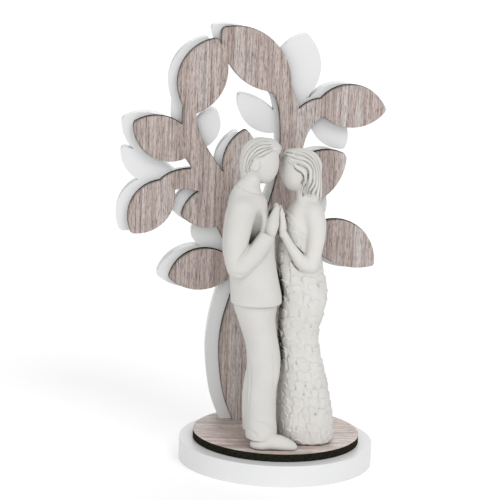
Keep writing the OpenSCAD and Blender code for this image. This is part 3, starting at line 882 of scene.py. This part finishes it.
def bisque_material(name, painted_lightness, painted_shade):
    """Unglazed clay, made lighter by the second argument, which paints light on one figure's copy of the
    clay; the third argument is the ramp of painted shade that an AO node lays in deep hollows.
    """
    m, n, links, shader = material(name, (0.64, 0.63, 0.61), 0.85)
    shader.inputs["Specular IOR Level"].default_value = 0.25
    v = place(n, links)
    cloud = noise(n, links, v, 60, 3)
    speck = noise(n, links, v, 1800, 3, 0.6)
    tones = ((0.3, 0.59, 0.578, 0.556), (0.7, 0.64, 0.626, 0.604))
    tone = ramp(n, links, cloud, [(at, (r * painted_lightness, g * painted_lightness, b * painted_lightness)) for at, r, g, b in tones])
    dust = ramp(n, links, speck, [(0.3, 0.965), (0.6, 1.0)])
    colour = mix(n, links, "MULTIPLY", 1.0, tone, dust)
    # painted shade in the hollows, read from AO nodes: first the deep ones, then the finest lines
    fine_painted_shade = [(0.3, (0.55, 0.55, 0.52)), (0.62, (0.88, 0.88, 0.86)), (0.85, (1.0, 1.0, 1.0))]
    for reach, stops in ((6, painted_shade), (1.2, fine_painted_shade)):
        hollow = n.new("ShaderNodeAmbientOcclusion")
        hollow.samples = 8
        hollow.inputs["Distance"].default_value = reach * MM
        colour = mix(n, links, "MULTIPLY", 1.0, colour, ramp(n, links, hollow.outputs["AO"], stops))
    links.new(colour, shader.inputs["Base Color"])
    bump(n, links, shader, mix(n, links, "ADD", 0.5, cloud, speck), 0.00006)
    return m


def zinc_material():
    """Zinc-plated steel."""
    m, n, links, shader = material("zinc_steel", (0.66, 0.65, 0.62), 0.35, metallic=1.0)
    tone = noise(n, links, place(n, links, (1, 1, 0.1)), 900, 3)
    grey = ramp(n, links, tone, [(0.3, (0.58, 0.57, 0.53)), (0.7, (0.72, 0.71, 0.68))])
    links.new(grey, shader.inputs["Base Color"])
    links.new(maths(n, links, "MULTIPLY_ADD", tone, 0.3, 0.2), shader.inputs["Roughness"])
    return m


LACQUER = lacquer_material()
# painted shade: these ramps darken the clay towards black where AO finds deep crevices and the slit between
# the figures
GROOM_PAINTED_SHADE = [
    (0.1, (0.02, 0.02, 0.016)), (0.28, (0.14, 0.14, 0.12)),
    (0.43, (0.68, 0.68, 0.65)), (0.72, (1.0, 1.0, 1.0)),
]
BRIDE_PAINTED_SHADE = [
    (0.1, (0.02, 0.02, 0.016)), (0.24, (0.14, 0.14, 0.12)),
    (0.34, (0.74, 0.74, 0.71)), (0.54, (1.0, 1.0, 1.0)),
]
GROOM_BISQUE = bisque_material("bisque_groom", 1.0, GROOM_PAINTED_SHADE)
# painted light: the bride's copy of the same bisque is 5% lighter, so she reads as more brightly lit than
# the groom
BRIDE_BISQUE = bisque_material("bisque_bride", 1.05, BRIDE_PAINTED_SHADE)
# the grain stands upright on the tree and runs from left to right on the disc
X, Y, Z = range(3)
BOARD_VENEER = veneer_material("wood_veneer_board", grain=Z, face_axis=Y, smoke=(-1, 0, 0.3))
# painted light: the disc's copy of the veneer is 1.45 times lighter, for its brightly lit top and the glare
# on it
DISC_VENEER_PAINTED_LIGHTER = veneer_material("wood_veneer_disc_painted_lighter", grain=X, face_axis=Z, light=1.45)
ZINC = zinc_material()


def finish_node(name, finish, bevel=0.0, segments=2):
    """Gives a CAD node its material and, where bevel is above 0, rounded edges that wide in millimetres."""
    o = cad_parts[name]
    if not o.material_slots:
        o.data.materials.append(finish)
    for slot in o.material_slots:
        slot.material = finish
    if bevel:
        b = o.modifiers.new("edge", "BEVEL")
        b.width = bevel * MM
        b.segments = segments
        b.limit_method = "ANGLE"
        b.angle_limit = math.radians(50)
        b.harden_normals = False


LACQUER_EDGE = 0.35
VENEER_EDGE = 0.4
finish_node("base_disc", LACQUER, LACQUER_EDGE, 3)
finish_node("wood_disc", DISC_VENEER_PAINTED_LIGHTER, VENEER_EDGE)
finish_node("tree_back", LACQUER, LACQUER_EDGE, 3)
finish_node("tree_front", BOARD_VENEER, VENEER_EDGE)
finish_node("tree_screws", ZINC)

# ---------------------------------------------------------------- the castings


def groom_surface(clay, points, normals):
    """How far each point of the groom moves: the hair stands out, then lines and folds are carved."""
    nape = np.clip((points[:, 2] - 149.6) / 0.6, 0, 1)
    hair = inside(points, GROOM_HAIR, 0.5) * nape * 0.6
    return (
        normals * hair[:, None]
        + incise(clay, points, normals, GROOM_STROKES, GROOM_MID, 0.28, 0.85)
        + incise(clay, points, normals, GROOM_FOLDS, GROOM_ARMS_MID, 0.9, 0.8)
    )


def bride_surface(clay, points, normals):
    """How far each point of the bride moves: cloth and scales stand out, but not on the bare arms."""
    clear = np.clip((bride_limbs_distance(points) - 0.2) / 0.7, 0, 1)
    cloth = inside(points, NECKLINE, 0.4) * clear * 0.4
    scales = inside(points, NECKLINE, 1.2, 1.4) * clear * dress_scales(points)
    locks = incise(clay, points, normals, BRIDE_STROKES, BRIDE_MID, 0.34, 0.85)
    return normals * (cloth + scales)[:, None] + locks


def casting(name, clay, surface, finish):
    """The clay's skin as an object, with its surface carved and its foot flat on the disc."""
    points, quads = clay.mesh()
    points = relax(points, quads)
    points = points + surface(clay, points, vertex_normals(points, quads))
    points[:, 2] = np.maximum(points[:, 2], DISC_TOP)
    return mesh_object(name, points, quads, finish)


groom = casting("groom_casting", sculpt_groom(), groom_surface, GROOM_BISQUE)
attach(groom, "root")
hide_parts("groom")

bride = casting("bride_casting", sculpt_bride(), bride_surface, BRIDE_BISQUE)
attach(bride, "root")
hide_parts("bride")

# ---------------------------------------------------------------- floor and light

# half the floor's width, in metres
FLOOR = 12.0
floor_data = bpy.data.meshes.new("floor")
corners = [(-FLOOR, -FLOOR, 0), (FLOOR, -FLOOR, 0), (FLOOR, FLOOR, 0), (-FLOOR, FLOOR, 0)]
floor_data.from_pydata(corners, [], [(0, 1, 2, 3)])
floor = bpy.data.objects.new("floor", floor_data)
scene.collection.objects.link(floor)
floor_material, _, _, shader = material("floor_paper", (0.72, 0.72, 0.72), 0.9)
# paper lit from below, which keeps it white under the base
shader.inputs["Emission Color"].default_value = (1, 1, 1, 1)
shader.inputs["Emission Strength"].default_value = 0.36
floor_data.materials.append(floor_material)


def soft_sun(name, azimuth, elevation, share, spread):
    """Wide even light; azimuth 0 comes from the front and 90 from the right.

    A white card that faces it reflects share of full white. All angles are in degrees.
    """
    d = bpy.data.lights.new(name, "SUN")
    d.energy = math.pi * share
    d.angle = math.radians(spread)
    o = bpy.data.objects.new(name, d)
    az, el = math.radians(azimuth), math.radians(elevation)
    towards = Vector((math.sin(az) * math.cos(el), -math.cos(az) * math.cos(el), math.sin(el)))
    o.rotation_euler = towards.to_track_quat("Z", "Y").to_euler()
    scene.collection.objects.link(o)


soft_sun("key_right", 30, 42, 0.32, 30)
soft_sun("front_left", -34, 28, 0.17, 60)
soft_sun("front", -2, 16, 0.1, 14)
soft_sun("back", 165, 24, 0.3, 60)

world = bpy.data.worlds.new("studio")
scene.world = world
world.use_nodes = True
background = world.node_tree.nodes["Background"]
background.inputs["Color"].default_value = (1, 1, 1, 1)
background.inputs["Strength"].default_value = 0.5
scene.view_settings.view_transform = "Standard"
